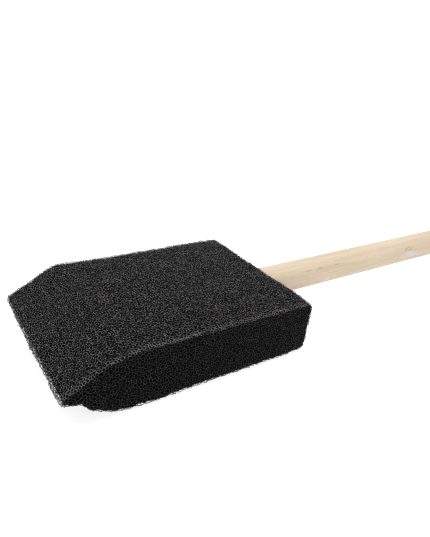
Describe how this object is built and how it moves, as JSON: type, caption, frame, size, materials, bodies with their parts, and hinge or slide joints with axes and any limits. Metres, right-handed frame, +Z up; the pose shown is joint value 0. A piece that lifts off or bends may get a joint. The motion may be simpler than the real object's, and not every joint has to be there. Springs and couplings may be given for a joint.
{
  "type": "foam sponge brush",
  "caption": "Hand brush with a flat wedge-tipped open-cell foam head on a round wooden dowel handle, for spreading paint, stain or varnish.",
  "frame": {"origin": "middle of the whole brush's box in X and Y, on the plane of the foam's flat bottom", "axes": "+X along the brush from the foam's tip to the handle's butt, +Y across the foam, +Z up through its thickness"},
  "size_m": [0.185, 0.05, 0.0155],
  "materials": {
    "birch_wood": "bare sanded birch, matte",
    "white_plastic": "satin natural polypropylene",
    "staple_wire": "galvanised wire",
    "hot_melt_glue": "amber hot-melt adhesive",
    "black_foam": "open-cell polyurethane foam, matte black"
  },
  "bodies": {
    "brush": {"handle": "birch_wood", "stiffener": "white_plastic", "staple": "staple_wire", "glue_upper": "hot_melt_glue", "glue_lower": "hot_melt_glue", "foam_block": "black_foam"},
    "tip": {"foam_tip": "black_foam"}
  },
  "joints": [
    {"name": "tip_flex", "type": "hinge", "parent": "brush", "child": "tip", "pos_m": [-0.0725, 0, 0.00775], "axis": [0, 1, 0], "range_deg": [-30, 30], "stiffness_Nm_per_rad": 0.05}
  ]
}
